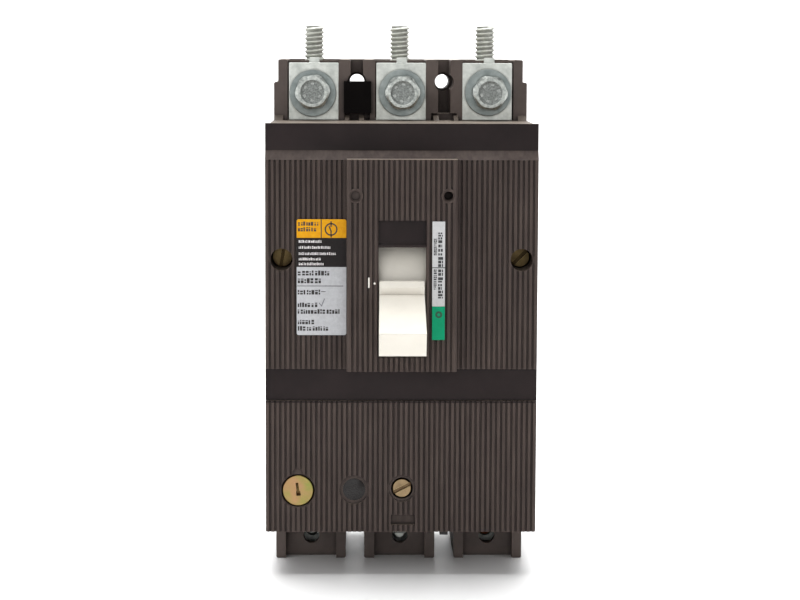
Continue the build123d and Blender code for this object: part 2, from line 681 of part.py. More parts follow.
def armature():
    """Steel flap on its pin in front of the magnet yoke."""
    body = block(-8.2, 8.2, -34, -32, 43, 60)
    body += rod_x(1.9, -8.2, 8.2, *ARMATURE_PIN)
    return body - rod_x(1.0 + FIT, -9, 9, *ARMATURE_PIN)


def armature_pin():
    """Pin in the ears of the magnet yoke."""
    return rod_x(1.0, -10, 10, *ARMATURE_PIN)


def braid():
    """Flexible copper lead from the contact arm's tail to the trip unit."""
    tail = Vector(0, -22.8, 84.8)
    path = FilletPolyline(tail, (0, -19.8, 80.5), (0, -21.0, 74.5), (0, -21.0, 68.1), radius=3.0)
    start = Plane(origin=tail, z_dir=path % 0)
    return sweep(start * Circle(1.8), path=path)


def trip_frame():
    """Insulating plate in front of the trip units, with bearings for the trip bar."""
    body = block(-49, 49, FRAME_Y, FRAME_Y + 2, 26, 54)
    flange = [
        (FRAME_Y, 26), (FRAME_Y, 62), (-45.8, 62), (-45.8, 70), (-32, 70), (-32, 50.1), (-30, 50), (-30, 30),
        (-32, 26),
    ]
    body += both_sides(plate_x(flange, 46.2, 49))
    body += rod_y(5.0, COVER_SCREW_X, COVER_SCREW_Z, -66, FRAME_Y + 1)
    body -= both_sides(rod_x(2.0 + FIT, 46, 50, *TRIP_BAR))
    body -= rod_y(2.1, BUTTON_X, BUTTON_Z, FRAME_Y - 1, FRAME_Y + 3)
    return body - rod_y(2.8, COVER_SCREW_X, COVER_SCREW_Z, -67, FRAME_Y)


def trip_bar():
    """Shaft across the three poles, with a lever per pole, a latch tab and a push arm."""
    y, z = TRIP_BAR
    body = rod_x(2.5, -45.8, 45.8, y, z) + rod_x(2.0, -48.6, 48.6, y, z)
    for x in POLES:
        body += block(x - 3, x + 3, y, -26.8, z - 1, z + 1.5)
    body += block(-3, 3, -54.2, y, z, z + 2.2)
    arm = [(y - 1.5, z + 1.5), (y + 2, z), (-49.2, 44), (-49.2, 31), (-51.8, 31), (-51.8, 46)]
    return body + plate_x(arm, BUTTON_X - 2.5, BUTTON_X + 2.5)


def trip_latch():
    """Small lever whose hook holds the cradle's nose."""
    outline = [(-59.8, 68), (-56.6, 68), (-56.2, 82.6), (-53, 82.6), (-53, 85), (-59.2, 85)]
    body = plate_x(outline, -4.2, 4.2) + rod_x(2.8, -4.2, 4.2, *TRIP_LATCH_PIN)
    return body - rod_x(1.5 + FIT, -5, 5, *TRIP_LATCH_PIN)


def trip_button():
    """Push-to-trip button with a retaining flange and a long stem."""
    x, z = BUTTON_X, BUTTON_Z
    body = rod_y(BUTTON_R, x, z, FRONT_Y + 0.1, -77)
    body &= Pos(x, FRONT_Y + 0.1 + BUTTON_DOME, z) * Sphere(BUTTON_DOME)
    body += rod_y(6.0, x, z, -77, -75.5)
    return body + rod_y(2.0, x, z, -76, -52)


def trip_button_spring():
    """Return spring round the button's stem, as a hollow cylinder."""
    x, z = BUTTON_X, BUTTON_Z
    return rod_y(4.0, x, z, -75.4, FRAME_Y - 0.1) - rod_y(3.0, x, z, -78, -50)


def setting_dial():
    """Rotary setting disc with a keyhole slot, its shaft and its cam."""
    x, z = DIAL_X, DIAL_Z
    body = rod_y(DIAL_R, x, z, FRONT_Y + 0.9, -82.3)
    body += cone_y(DIAL_R - 0.4, DIAL_R, x, z, FRONT_Y + 0.5, FRONT_Y + 0.9)
    body += rod_y(2.5, x, z, -83, -60.5)
    body += Pos(0, 0, 1.2) * rod_y(4.0, x, z, -62.5, -60.5)
    slot = block(-0.55, 0.55, FRONT_Y, FRONT_Y + 2.9, -0.4, 3.1)
    slot += block(-0.85, 0.85, FRONT_Y, FRONT_Y + 2.9, -2.1, -0.2)
    return body - Pos(x, 0, z) * Rot(0, -SLOT_LEAN, 0) * slot


def dial_clip():
    """Retaining ring on the dial's shaft, behind the cup."""
    return rod_y(4.4, DIAL_X, DIAL_Z, -75.8, -75) - rod_y(2.5, DIAL_X, DIAL_Z, -77, -74)


# Fasteners and trim

def slotted_screw(x, z, head_r, head_y, head_t, shank_r, end_y, slot_angle):
    """Cheese head screw along Y with a slot across its head."""
    head = rod_y(head_r, 0, 0, head_y + 0.5, head_y + head_t)
    head += cone_y(head_r - 0.4, head_r, 0, 0, head_y, head_y + 0.5)
    slot = block(-head_r - 1, head_r + 1, head_y - 1, head_y + 1.5, -0.7, 0.7)
    head -= Rot(0, -slot_angle, 0) * slot
    return Pos(x, 0, z) * (head + rod_y(shank_r, 0, 0, head_y + head_t, end_y))


def upper_cover_screws():
    """Two brass screws deep in the upper cover."""
    left = slotted_screw(-SCREW_X, SCREW_Z, 4.1, -73, 3, 2.0, -35, 80)
    right = slotted_screw(SCREW_X, SCREW_Z, 4.1, -73, 3, 2.0, -35, 45)
    return [left, right]


def lower_cover_screw():
    """Brass screw of the lower cover."""
    return slotted_screw(COVER_SCREW_X, COVER_SCREW_Z, 3.8, FRONT_Y + 0.9, 3.1, 2.0, -59, 27)


def inserts():
    """Threaded brass inserts for the cover screws."""
    found = []
    for x in (-SCREW_X, SCREW_X):
        found.append(rod_y(3.0, x, SCREW_Z, SPLIT_Y, -34) - rod_y(2.0, x, SCREW_Z, -50, -34.9))
    nut = rod_y(2.8, COVER_SCREW_X, COVER_SCREW_Z, -66, FRAME_Y)
    found.append(nut - rod_y(2.0, COVER_SCREW_X, COVER_SCREW_Z, -70, -58.9))
    return found


def slot_plug():
    """Black plug in the left channel between the line terminals."""
    body = block(-22.7, -11.8, SPLIT_Y - 2.2, SPLIT_Y, NOTCH_TOP_Z, 192.4)
    return body + block(-19.8, -15.3, SPLIT_Y - 0.5, -27, NOTCH_TOP_Z + 1, 187.8)


def knockout_plug():
    """Round plug in the left small hole of the panel."""
    return rod_y(PIP_R, -PIP_X, PIP_Z, PANEL_Y + 1.3, FRONT_Y)


def rating_label():
    """Printed label on the left of the upper cover."""
    body = block(-40.6, -21.4, FRONT_Y - 0.25, FRONT_Y, 94.9, 139.9)
    return fillet(body.edges().filter_by(Axis.Y), 0.8)


def side_label():
    """White strip beside the toggle."""
    return block(11.6, 16.5, PANEL_Y - 0.25, PANEL_Y, 107, 139.7)


def off_strip():
    """Green strip that marks the off position."""
    return block(11.6, 16.5, PANEL_Y - 0.25, PANEL_Y, 94, 107)


def cover_latch():
    """Small catch under the lower cover."""
    body = block(15.5, 18.8, -78, -74, CASE_Z0 - 2.85, CASE_Z0)
    return body + block(15.9, 18.4, -77.5, -74.5, CASE_Z0, CASE_Z0 + 6)


def solids(shape):
    """Flat list of the separate solids of a shape or a list of shapes."""
    if isinstance(shape, list):
        return [solid for item in shape for solid in solids(item)]
    return list(shape.solids())


def write(name, shape):
    """Writes one node as a STEP file."""
    found = solids(shape)
    export_step(found[0] if len(found) == 1 else Compound(children=found), f"parts/{name}.step")


def main():
    os.makedirs("parts", exist_ok=True)
    write("base", base())
    write("upper_cover", upper_cover())
    write("lower_cover", lower_cover())
    write("toggle_handle", toggle_handle())
    write("toggle_yoke", toggle_yoke())
    write("toggle_pivot_pin", rod_x(2.5, -12.4, 12.4, PIVOT_Y, PIVOT_Z))
    write("main_springs", main_springs())
    write("mechanism_side_plates", side_plates())
    write("mechanism_spacers", spacers())
    write("mechanism_screws", mechanism_screws())
    write("cradle", cradle())
    write("cradle_pin", rod_x(2.0, -12.2, 12.2, *CRADLE_PIN))
    write("upper_toggle_links", upper_links())
    write("knee_pin", rod_x(1.5, -7.9, 7.9, *KNEE))
    write("lower_toggle_links", lower_links())
    write("crossbar", crossbar())
    write("crossbar_link_pin", rod_x(1.5, -7.9, 7.9, *LINK_BOTTOM))
    for name, x in zip(("left", "centre", "right"), POLES):
        write(f"moving_contact_arm_{name}", Pos(x, 0, 0) * contact_arm())
        write(f"arc_chute_plates_{name}", [Pos(x, 0, 0) * plate for plate in arc_plates()])
        write(f"armature_{name}", Pos(x, 0, 0) * armature())
    write("moving_contact_tips", at_poles(moving_tip()))
    write("contact_springs", contact_springs())
    write("line_conductors", at_poles(line_conductor()))
    write("fixed_contact_tips", at_poles(fixed_tip()))
    write("arc_chute_walls", [Pos(x, 0, 0) * sheet for x in POLES for sheet in arc_walls()])
    write("line_terminal_plates", [terminal_plate(pole) for pole in range(3)])
    write("line_terminal_blocks", [terminal_block(pole) for pole in range(3)])
    write("line_washers", [washer(pole) for pole in range(3)])
    write("line_bolts", [hex_bolt(pole) for pole in range(3)])
    write("line_studs", at_poles(stud()))
    write("load_conductors", [Pos(x, 0, 0) * load_conductor() for x in LOAD_X])
    write("load_terminal_clamps", [Pos(x, 0, 0) * load_clamp() for x in LOAD_X])
    write("load_terminal_screws", [Pos(x, 0, 0) * load_screw(y) for x, y in zip(LOAD_X, LOAD_SCREW_Y)])
    write("bimetals", at_poles(bimetal()))
    write("magnet_yokes", at_poles(magnet_yoke()))
    write("armature_pins", at_poles(armature_pin()))
    write("flexible_braids", at_poles(braid()))
    write("trip_frame", trip_frame())
    write("trip_bar", trip_bar())
    write("trip_latch", trip_latch())
    write("trip_latch_pin", rod_x(1.5, -12, 12, *TRIP_LATCH_PIN))
    write("trip_button", trip_button())
    write("trip_button_spring", trip_button_spring())
    write("setting_dial", setting_dial())
    write("setting_dial_clip", dial_clip())
    write("upper_cover_screws", upper_cover_screws())
    write("lower_cover_screw", lower_cover_screw())
    write("threaded_inserts", inserts())
    write("phase_slot_plug", slot_plug())
    write("knockout_plug", knockout_plug())
    write("rating_label", rating_label())
    write("side_label", side_label())
    write("off_strip", off_strip())
    write("cover_latch", cover_latch())


main()
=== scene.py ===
import json
import math
import random

import bmesh
import bpy
from mathutils import Euler, Matrix, Vector


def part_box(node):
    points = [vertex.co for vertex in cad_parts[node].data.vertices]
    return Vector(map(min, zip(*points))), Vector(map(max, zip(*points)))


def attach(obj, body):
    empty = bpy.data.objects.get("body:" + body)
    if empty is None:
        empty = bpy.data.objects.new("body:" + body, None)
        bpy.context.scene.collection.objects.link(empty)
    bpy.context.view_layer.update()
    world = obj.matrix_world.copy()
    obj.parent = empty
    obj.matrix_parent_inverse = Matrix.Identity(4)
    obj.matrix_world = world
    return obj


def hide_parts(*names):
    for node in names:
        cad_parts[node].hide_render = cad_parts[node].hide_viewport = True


# A three-pole molded case breaker, dressed for a studio picture.
# Everything is in metres, in the CAD frame: X across, Z up, the front towards -Y.

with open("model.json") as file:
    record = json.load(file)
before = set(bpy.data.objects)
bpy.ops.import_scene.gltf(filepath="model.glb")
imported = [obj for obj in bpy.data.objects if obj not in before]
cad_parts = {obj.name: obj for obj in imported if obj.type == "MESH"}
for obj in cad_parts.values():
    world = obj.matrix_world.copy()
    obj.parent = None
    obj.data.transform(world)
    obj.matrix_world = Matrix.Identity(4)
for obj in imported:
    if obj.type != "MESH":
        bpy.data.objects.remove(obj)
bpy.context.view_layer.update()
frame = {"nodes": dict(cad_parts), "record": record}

MM = 0.001
POLE_PITCH = 35 * MM
NODES = frame["nodes"]
SLOT_OF = {part["node"]: part["material_slot"] for part in frame["record"]["subparts"]}

# Camera: it stands 0.92 m from the front face, a little to the left and six degrees above level.
LENS = 106.85
VIEW_DISTANCE = 0.92
PITCH = math.radians(6.1)
YAW = math.radians(0.95)
ROLL = math.radians(0.2)
AIM = Vector((-0.0006, -0.086, 0.1086))

# Lights: name, place, what it is aimed at, width and height, watts
CENTRE = (0, -0.06, 0.11)
LIGHTS = (
    ("top", (-0.1, 0.15, 1.3), (0, -0.05, 0), (1.0, 1.0), 13),
    ("front", (-0.35, -2.0, 0.75), CENTRE, (2.0, 1.3), 12.5),
    ("left", (-1.2, -0.7, 0.45), CENTRE, (0.6, 1.0), 3.4),
    ("right", (1.2, -0.7, 0.45), CENTRE, (0.6, 1.0), 3.0),
    ("backdrop", (0.0, 0.6, 1.7), (0, 1.3, 0.2), (2.0, 2.0), 50),
)
WORLD_LIGHT = 0.22

# Floor, and the backdrop that it curves up into
FLOOR_HALF_WIDTH = 3.0
FLOOR_FRONT_Y = -2.5
BACKDROP_Y = 1.6
BACKDROP_TOP_Z = 2.5
BACKDROP_BEND = 0.8
BEND_STEPS = 12
FLOOR_TONES = (0.895, 0.905)
FLOOR_ROUGHNESS = 0.4

# Two smooth bands of the covers, and the smooth recess over the toggle's window
COVER_LOW, COVER_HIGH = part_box("upper_cover")
BAND_Z = (COVER_LOW[2] - 1 * MM, COVER_LOW[2] + 12.3 * MM)
CROWN_Z = (COVER_HIGH[2] - 12.4 * MM, COVER_HIGH[2] + 3 * MM)
RECESS_X = (-9.3 * MM, 9.6 * MM)
RECESS_Z = (129.8 * MM, 140.1 * MM)

# Rating label: where its yellow and black fields end, measured from its top
LABEL_LOW, LABEL_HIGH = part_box("rating_label")
LABEL_LEFT, LABEL_FACE_Y, LABEL_TOP = LABEL_LOW[0], LABEL_LOW[1], LABEL_HIGH[2]
YELLOW_DEPTH = 7.2
BLACK_DEPTH = 18.5
LABEL_YELLOW_Z0 = LABEL_TOP - YELLOW_DEPTH * MM
LABEL_BLACK_Z0 = LABEL_TOP - BLACK_DEPTH * MM
HAIR = 0.04 * MM

# Greeked rows of the labels in mm: down from the top, length, height
YELLOW_ROWS = ((2.5, 7.8, 1.6), (4.7, 7.0, 1.6))
WHITE_ROWS = ((9.1, 8.8, 1.0), (11.4, 12.3, 1.0), (13.8, 14.4, 1.0), (15.9, 8.8, 1.0), (17.8, 9.6, 1.0))
SILVER_ROWS = (
    (21.8, 12.2, 1.95), (24.8, 9.0, 1.95), (29.2, 8.7, 1.9), (34.1, 7.6, 1.75),
    (36.7, 16.2, 1.8), (40.8, 6.9, 1.75), (43.3, 11.8, 1.8),
)
# and of the side strip, which run down it: in from its left edge, down from its top, length, height
STRIP_ROWS = ((2.25, 4.2, 13.4, 1.9), (2.25, 18.4, 11.2, 1.9), (0.55, 6.6, 6.4, 1.2), (0.55, 18.4, 8.4, 1.2))

# Greeked blocks, as shares of the row's height
BLOCK_WIDTHS = (0.34, 0.46, 0.58)
BLOCK_HEIGHTS = (0.8, 0.92, 1.0)
BLOCK_CUTS = (0.0, 0.4, 0.62)
BLOCK_GAPS = (0.14, 0.14, 0.3)
CUT_GAP = 0.14
SHORTEST_BLOCK = 0.3 * MM
PRINT_T = 0.02 * MM

# On marks beside the window: a bar and a dot
ON_BAR = (-13.0 * MM, -12.4 * MM, 114.1 * MM, 118.1 * MM)
ON_BAR_ROUND = 0.2 * MM
ON_DOT_X = -10.5 * MM
ON_DOT_Z = 115.8 * MM
ON_DOT_R = 0.42 * MM
PAINT_T = 0.05 * MM

# Threads of the line studs
THREAD_PITCH = 1.78 * MM
THREAD_GAP = 0.6 * MM
THREAD_STEPS = 10
THREAD_SIDES = 48
ROOT_SHARE = 0.8
COLLAR_SHARE = 0.9
TIP_SHARE = 0.86
TIP_SLOPE = 0.9
CREST_FLAT = 0.12
THREAD_FLANK = 0.76

# Hexagon bolt heads, turned by these degrees from left to right. The dish is radius and depth in mm,
# from the middle outwards, and the ticks' reaches are in mm.
HEAD_TURNS = (8, 3, -6)
HEAD_FLATS = 6.5 * MM
HEAD_CORNER = 6.95 * MM
HEAD_RIM = 5.95 * MM
HEAD_SIDES = 96
CHAMFER_SHARES = (0.0, 0.35, 0.7, 1.0)
CHAMFER_SLOPE = 0.62
CORNER_DROP = 0.25 * MM
DISH = ((1.6, 0.30), (3.4, 0.28), (4.1, 0.22), (4.5, 0.05), (4.8, 0.0), (5.3, 0.0))
DARK_DISH_R = 4.7 * MM
SHANK_R = 3.8 * MM
SHANK_SIDES = 24
TICK_START = 3.0 * MM
TICK_REACHES = (1.0, 0.7, 0.8, 1.0, 0.8, 0.6)
TICK_HALF = 0.1 * MM
TICK_DEPTHS = (0.12 * MM, 0.34 * MM)

# Small rounded edges of the CAD nodes
WELD_DISTANCE = 0.000001
BEVEL_ANGLE = math.radians(32)
EDGE = 0.12 * MM
EDGE_WIDTH = {
    "toggle_handle": 0.5 * MM,
    "line_terminal_plates": 0.25 * MM,
    "line_washers": 0.2 * MM,
    "base": 0.2 * MM,
}

# Nodes whose finish differs from the rest of their slot
OWN_FINISH = {
    "base": "base_plastic",
    "line_washers": "washer_steel",
    "phase_slot_plug": "plug_black",
    "upper_cover_screws": "dark_brass",
}

# Finishes: two sRGB colours that the surface drifts between, and what differs from the defaults of
# make_finish. Wear and the painted shade of crevices give a colour, a width or reach in metres, and a
# strength.
# Pale beige painted on up-facing faces: a painted sheen of the light from above, in broad patches
SHEEN_TINT = (150, 138, 124)
FINISHES = {
    "inner_plastic": dict(
        dark=(44, 40, 38), light=(58, 52, 50), specular=0.3,
        wear=((90, 84, 80), 0.0003, 0.5), painted_shade=((18, 16, 15), 0.0012, 0.7)),
    # paler brown of the tray and the feet, with a painted sheen on their up-facing faces
    "base_plastic": dict(
        dark=(74, 64, 60), light=(94, 83, 78), grain=3200.0, bump=0.00004, rough=(0.45, 0.65),
        mottle=60.0, specular=0.3, painted_sheen=(SHEEN_TINT, 0.5),
        wear=((132, 118, 108), 0.0004, 0.7), painted_shade=((16, 12, 12), 0.0016, 0.7)),
    # matt soot black of the plug between the terminals
    "plug_black": dict(
        dark=(8, 6, 6), light=(14, 11, 11), grain=3200.0, rough=(0.6, 0.8), mottle=80.0,
        specular=0.06, wear=((30, 27, 26), 0.0003, 0.5)),
    "black_plastic": dict(
        dark=(24, 21, 20), light=(34, 30, 29), rough=(0.22, 0.34), specular=0.3,
        wear=((110, 104, 98), 0.0005, 0.7), painted_shade=((8, 7, 7), 0.001, 0.6)),
    # The ivory's crevice shade is a painted shadow, wide and strong enough to darken the shield's top under
    # the window's edge.
    "toggle_plastic": dict(
        dark=(216, 211, 200), light=(226, 221, 210), grain=2400.0, bump=0.000012, rough=(0.3, 0.42),
        mottle=60.0, wear=((250, 249, 244), 0.0003, 0.5), painted_shade=((118, 104, 88), 0.0028, 0.6)),
    "fibre_board": dict(
        dark=(150, 112, 72), light=(178, 138, 94), bump=0.00005, rough=(0.6, 0.8),
        stretch=(1, 0.2, 1), wear=((200, 168, 124), 0.0003, 0.5)),
    # mottled dark zinc of the bolts' dished faces, and their brighter worn rim
    "bolt_steel": dict(
        dark=(104, 108, 106), light=(150, 154, 151), grain=1300.0, bump=0.00006, rough=(0.32, 0.5),
        metallic=1.0, mottle=1500.0, contrast=(0.36, 0.64),
        wear=((240, 244, 240), 0.0002, 0.8), painted_shade=((60, 60, 58), 0.0008, 0.5)),
    "rim_steel": dict(
        dark=(138, 143, 140), light=(196, 200, 195), grain=1400.0, bump=0.00005, rough=(0.24, 0.44),
        metallic=1.0, mottle=700.0, contrast=(0.36, 0.64),
        wear=((236, 240, 236), 0.0002, 0.9), painted_shade=((70, 70, 68), 0.0009, 0.7)),
    # dull zinc of the threads
    "stud_steel": dict(
        dark=(172, 174, 167), light=(212, 214, 206), grain=2200.0, bump=0.00004, rough=(0.5, 0.68),
        metallic=0.55, mottle=500.0, specular=0.3,
        wear=((214, 216, 210), 0.0002, 0.7), painted_shade=((70, 68, 62), 0.0009, 0.8)),
    "zinc_plate": dict(
        dark=(174, 178, 173), light=(212, 215, 209), grain=1500.0, bump=0.00003, rough=(0.32, 0.5),
        metallic=0.85, mottle=240.0,
        wear=((240, 240, 236), 0.0003, 0.7), painted_shade=((96, 96, 92), 0.0009, 0.6)),
    "washer_steel": dict(
        dark=(120, 128, 127), light=(150, 157, 155), grain=1800.0, bump=0.00003, rough=(0.34, 0.5),
        metallic=1.0, mottle=260.0,
        wear=((226, 228, 224), 0.0003, 0.8), painted_shade=((70, 70, 68), 0.0009, 0.6)),
    "steel": dict(
        dark=(150, 150, 148), light=(182, 182, 178), rough=(0.3, 0.5), metallic=1.0,
        stretch=(1, 1, 0.2), wear=((214, 214, 210), 0.0003, 0.6)),
    "spring_steel": dict(
        dark=(120, 118, 114), light=(164, 160, 154), rough=(0.25, 0.4), metallic=1.0,
        wear=((200, 198, 190), 0.0003, 0.5)),
    "copper": dict(
        dark=(170, 96, 62), light=(206, 128, 88), rough=(0.3, 0.5), metallic=1.0,
        wear=((232, 160, 120), 0.0003, 0.6), painted_shade=((80, 44, 28), 0.001, 0.6)),
    "silver_contact": dict(
        dark=(196, 194, 188), light=(226, 224, 218), rough=(0.3, 0.5), metallic=1.0,
        wear=((236, 236, 232), 0.0003, 0.6)),
    "brass": dict(
        dark=(124, 106, 82), light=(156, 134, 102), grain=2000.0, bump=0.00003, rough=(0.28, 0.42),
        metallic=1.0, mottle=220.0,
        wear=((246, 222, 160), 0.0003, 0.7), painted_shade=((50, 28, 10), 0.0014, 1.0)),
    # tarnished olive brown of the upper screws
    "dark_brass": dict(
        dark=(74, 62, 42), light=(108, 92, 62), grain=2000.0, bump=0.00003, rough=(0.3, 0.46),
        metallic=1.0, mottle=260.0,
        wear=((170, 148, 104), 0.0003, 0.7), painted_shade=((30, 20, 10), 0.0016, 1.0)),
    "green_print": dict(
        dark=(0, 140, 98), light=(0, 152, 108), bump=0.000008, rough=(0.34, 0.48), mottle=300.0,
        specular=0.15, wear=((120, 200, 170), 0.0002, 0.4)),
    "label_ink": dict(dark=(26, 22, 22), light=(46, 41, 41), bump=0.00001, rough=(0.4, 0.5)),
    "label_white_ink": dict(dark=(206, 200, 200), light=(226, 222, 222), rough=(0.4, 0.5)),
    "pen_mark": dict(dark=(110, 110, 116), light=(140, 140, 146), rough=(0.5, 0.6)),
    "strip_ink": dict(dark=(34, 34, 36), light=(56, 56, 58), rough=(0.4, 0.5)),
    "off_mark": dict(dark=(0, 66, 44), light=(4, 80, 56), rough=(0.4, 0.5)),
    "mark_paint": dict(dark=(214, 210, 200), light=(236, 232, 224), rough=(0.5, 0.6)),
}

random.seed(7)


# Camera, lights and floor

def look_direction():
    return Vector((
        math.sin(YAW) * math.cos(PITCH),
        math.cos(YAW) * math.cos(PITCH),
        -math.sin(PITCH),
    ))


def make_camera():
    data = bpy.data.cameras.new("camera")
    data.lens = LENS
    data.sensor_width = 36.0
    data.clip_start = 0.05
    data.clip_end = 20.0
    camera = bpy.data.objects.new("camera", data)
    camera.location = AIM - look_direction() * VIEW_DISTANCE
    turn = Euler((math.pi / 2 - PITCH, 0, -YAW)).to_matrix() @ Matrix.Rotation(ROLL, 3, "Z")
    camera.rotation_euler = turn.to_euler()
    bpy.context.scene.collection.objects.link(camera)
    bpy.context.scene.camera = camera


def area_light(name, place, aim, size, watts):
    data = bpy.data.lights.new(name, "AREA")
    data.shape = "RECTANGLE"
    data.size, data.size_y = size
    data.energy = watts
    light = bpy.data.objects.new(name, data)
    light.location = place
    light.rotation_euler = (Vector(aim) - Vector(place)).to_track_quat("-Z", "Y").to_euler()
    bpy.context.scene.collection.objects.link(light)


def make_lights():
    scene = bpy.context.scene
    scene.view_settings.view_transform = "Standard"
    world = bpy.data.worlds.new("studio")
    world.use_nodes = True
    background = world.node_tree.nodes["Background"]
    background.inputs["Color"].default_value = (1.0, 1.0, 1.0, 1.0)
    background.inputs["Strength"].default_value = WORLD_LIGHT
    scene.world = world
    for light in LIGHTS:
        area_light(*light)


def make_floor():
    """Pale floor that curves up into the backdrop far behind."""
    bm = bmesh.new()
    bend = BACKDROP_BEND
    profile = [(FLOOR_FRONT_Y, 0.0), (BACKDROP_Y - bend, 0.0)]
    for i in range(1, BEND_STEPS + 1):
        angle = math.pi / 2 * i / BEND_STEPS
        profile.append((BACKDROP_Y - bend + bend * math.sin(angle), bend - bend * math.cos(angle)))
    profile.append((BACKDROP_Y, BACKDROP_TOP_Z))
    left = [bm.verts.new((-FLOOR_HALF_WIDTH, y, z)) for y, z in profile]
    right = [bm.verts.new((FLOOR_HALF_WIDTH, y, z)) for y, z in profile]
    for i in range(len(profile) - 1):
        bm.faces.new((left[i], right[i], right[i + 1], left[i + 1]))
    mesh = bpy.data.meshes.new("floor")
    bm.to_mesh(mesh)
    bm.free()
    mesh.shade_smooth()
    floor = bpy.data.objects.new("floor", mesh)
    bpy.context.scene.collection.objects.link(floor)
    material, tree, shader = new_material("floor")
    drift = noise(tree, object_place(tree), 2.0)
    low, high = ((tone, tone, tone, 1) for tone in FLOOR_TONES)
    tree.links.new(blend_colour(tree, drift, low, high), shader.inputs["Base Color"])
    shader.inputs["Roughness"].default_value = FLOOR_ROUGHNESS
    mesh.materials.append(material)


# Materials

def linear(r, g, b):
    """Linear colour of an sRGB one given in 0 to 255."""
    def one(v):
        v = v / 255
        return v / 12.92 if v <= 0.04045 else ((v + 0.055) / 1.055) ** 2.4
    return (one(r), one(g), one(b), 1.0)


def new_material(name):
    """New material with its node tree and its shader."""
    material = bpy.data.materials.new(name)
    material.use_nodes = True
    return material, material.node_tree, material.node_tree.nodes["Principled BSDF"]


def connect(tree, socket, value):
    """Links a socket to another one, or sets it."""
    if isinstance(value, bpy.types.NodeSocket):
        tree.links.new(value, socket)
    else:
        socket.default_value = value


def add(tree, kind, inputs=None, **settings):
    """New node with its settings, and its inputs linked or set."""
    made = tree.nodes.new(kind)
    for key, value in settings.items():
        setattr(made, key, value)
    for key, value in (inputs or {}).items():
        connect(tree, made.inputs[key], value)
    return made


def blend_colour(tree, factor, a, b):
    """Colour a where the factor is zero and b where it is one."""
    made = add(tree, "ShaderNodeMix", data_type="RGBA")
    for socket, value in ((made.inputs[0], factor), (made.inputs[6], a), (made.inputs[7], b)):
        connect(tree, socket, value)
    return made.outputs[2]


def calculate(tree, operation, a, b):
    return add(tree, "ShaderNodeMath", {0: a, 1: b}, operation=operation).outputs[0]


def spread(tree, value, low, high, out_low=0.0, out_high=1.0):
    """A value mapped from one range to another, and kept inside it."""
    return add(tree, "ShaderNodeMapRange", {
        "Value": value, "From Min": low, "From Max": high, "To Min": out_low, "To Max": out_high,
    }).outputs["Result"]


def noise(tree, place, scale, detail=2.0, rough=0.5):
    return add(tree, "ShaderNodeTexNoise", {
        "Vector": place, "Scale": scale, "Detail": detail, "Roughness": rough,
    }).outputs["Fac"]


def stretched(tree, place, stretch):
    return add(tree, "ShaderNodeMapping", {"Vector": place, "Scale": stretch}).outputs["Vector"]


def object_place(tree):
    return add(tree, "ShaderNodeTexCoord").outputs["Object"]


def parts_of(tree, vector):
    """X, Y and Z of a vector, by name."""
    return add(tree, "ShaderNodeSeparateXYZ", {0: vector}).outputs


def surface_normal(tree):
    return add(tree, "ShaderNodeNewGeometry").outputs["Normal"]


def edge_mask(tree, width):
    """One on convex and concave edges and zero on flats, from how far a bevel turns the normal."""
    soft = add(tree, "ShaderNodeBevel", {"Radius": width}, samples=4).outputs["Normal"]
    flat = surface_normal(tree)
    dot = add(tree, "ShaderNodeVectorMath", {0: soft, 1: flat}, operation="DOT_PRODUCT").outputs["Value"]
    return spread(tree, dot, 0.98, 0.75)


def crevice_shade_mask(tree, reach):
    """One deep in grooves and corners and zero on open faces: the mask of the painted shade."""
    open_sky = add(tree, "ShaderNodeAmbientOcclusion", {"Distance": reach}, samples=4).outputs["AO"]
    return spread(tree, open_sky, 0.95, 0.35)


def finish_nodes(tree, shader, colour, place, grain, bump, rough, wear=None, painted_shade=None, painted_sheen=None):
    """Grain, worn edges, painted shade in crevices, painted sheen on up-facing faces, roughness and bump on
    top of a colour.
    """
    fine = noise(tree, place, grain, 3.0, 0.6)
    broad = noise(tree, place, 90.0, 3.0, 0.55)
    if wear:
        wear_colour, width, strength = wear
        broken = spread(tree, noise(tree, place, 420.0, 3.0, 0.7), 0.3, 0.75, 0.35 * strength, strength)
        mask = calculate(tree, "MULTIPLY", edge_mask(tree, width), broken)
        colour = blend_colour(tree, mask, colour, linear(*wear_colour))
    # painted shade: grooves and corners turn darker, where shade falls
    if painted_shade:
        shade_colour, reach, strength = painted_shade
        mask = calculate(tree, "MULTIPLY", crevice_shade_mask(tree, reach), strength)
        colour = blend_colour(tree, mask, colour, linear(*shade_colour))
    # painted sheen: up-facing faces turn paler, as the light from above makes them look
    if painted_sheen:
        sheen_colour, strength = painted_sheen
        lying = spread(tree, parts_of(tree, surface_normal(tree))["Z"], 0.7, 1.0, 0.0, strength)
        patches = spread(tree, broad, 0.3, 0.6, 0.55, 1.0)
        mask = calculate(tree, "MULTIPLY", lying, patches)
        colour = blend_colour(tree, mask, colour, linear(*sheen_colour))
    tree.links.new(colour, shader.inputs["Base Color"])
    mixed = calculate(tree, "ADD", fine, broad)
    tree.links.new(spread(tree, mixed, 0.7, 1.3, *rough), shader.inputs["Roughness"])
    lift = add(tree, "ShaderNodeBump", {"Height": fine, "Strength": 1.0, "Distance": bump})
    tree.links.new(lift.outputs["Normal"], shader.inputs["Normal"])


